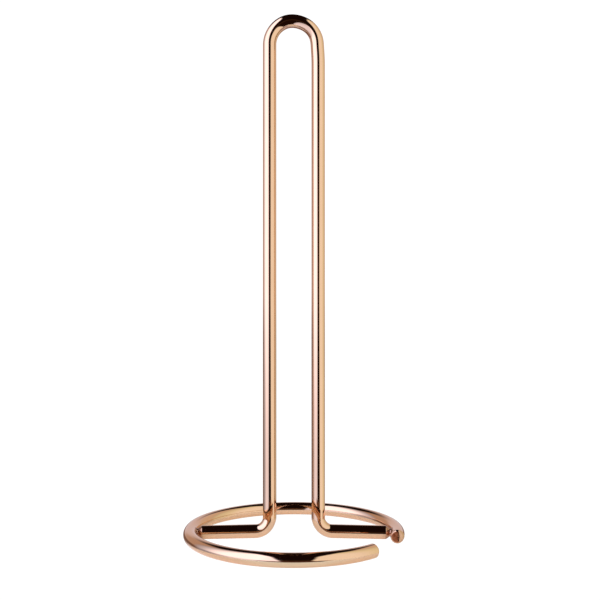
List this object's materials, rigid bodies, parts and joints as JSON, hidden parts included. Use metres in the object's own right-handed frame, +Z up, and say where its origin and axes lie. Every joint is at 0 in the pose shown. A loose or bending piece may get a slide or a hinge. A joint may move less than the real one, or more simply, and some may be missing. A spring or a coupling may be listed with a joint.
{
  "type": "paper towel holder",
  "caption": "Free-standing countertop paper towel holder: a tall hairpin wire loop that a roll slides over, welded across a flat open ring of the same wire.",
  "frame": {"origin": "on the table, under the centre of the base ring", "axes": "+Z up along the loop, +X from one leg of the loop to the other, -Y towards the user, with the ring's gap at the front right"},
  "size_m": [0.131, 0.131, 0.3115],
  "materials": {
    "plated_wire": "polished",
    "plated_weld": "gloss"
  },
  "bodies": {
    "root": {"upright_loop": "plated_wire", "base_ring": "plated_wire", "left_foot_weld": "plated_weld", "right_foot_weld": "plated_weld"}
  },
  "joints": []
}
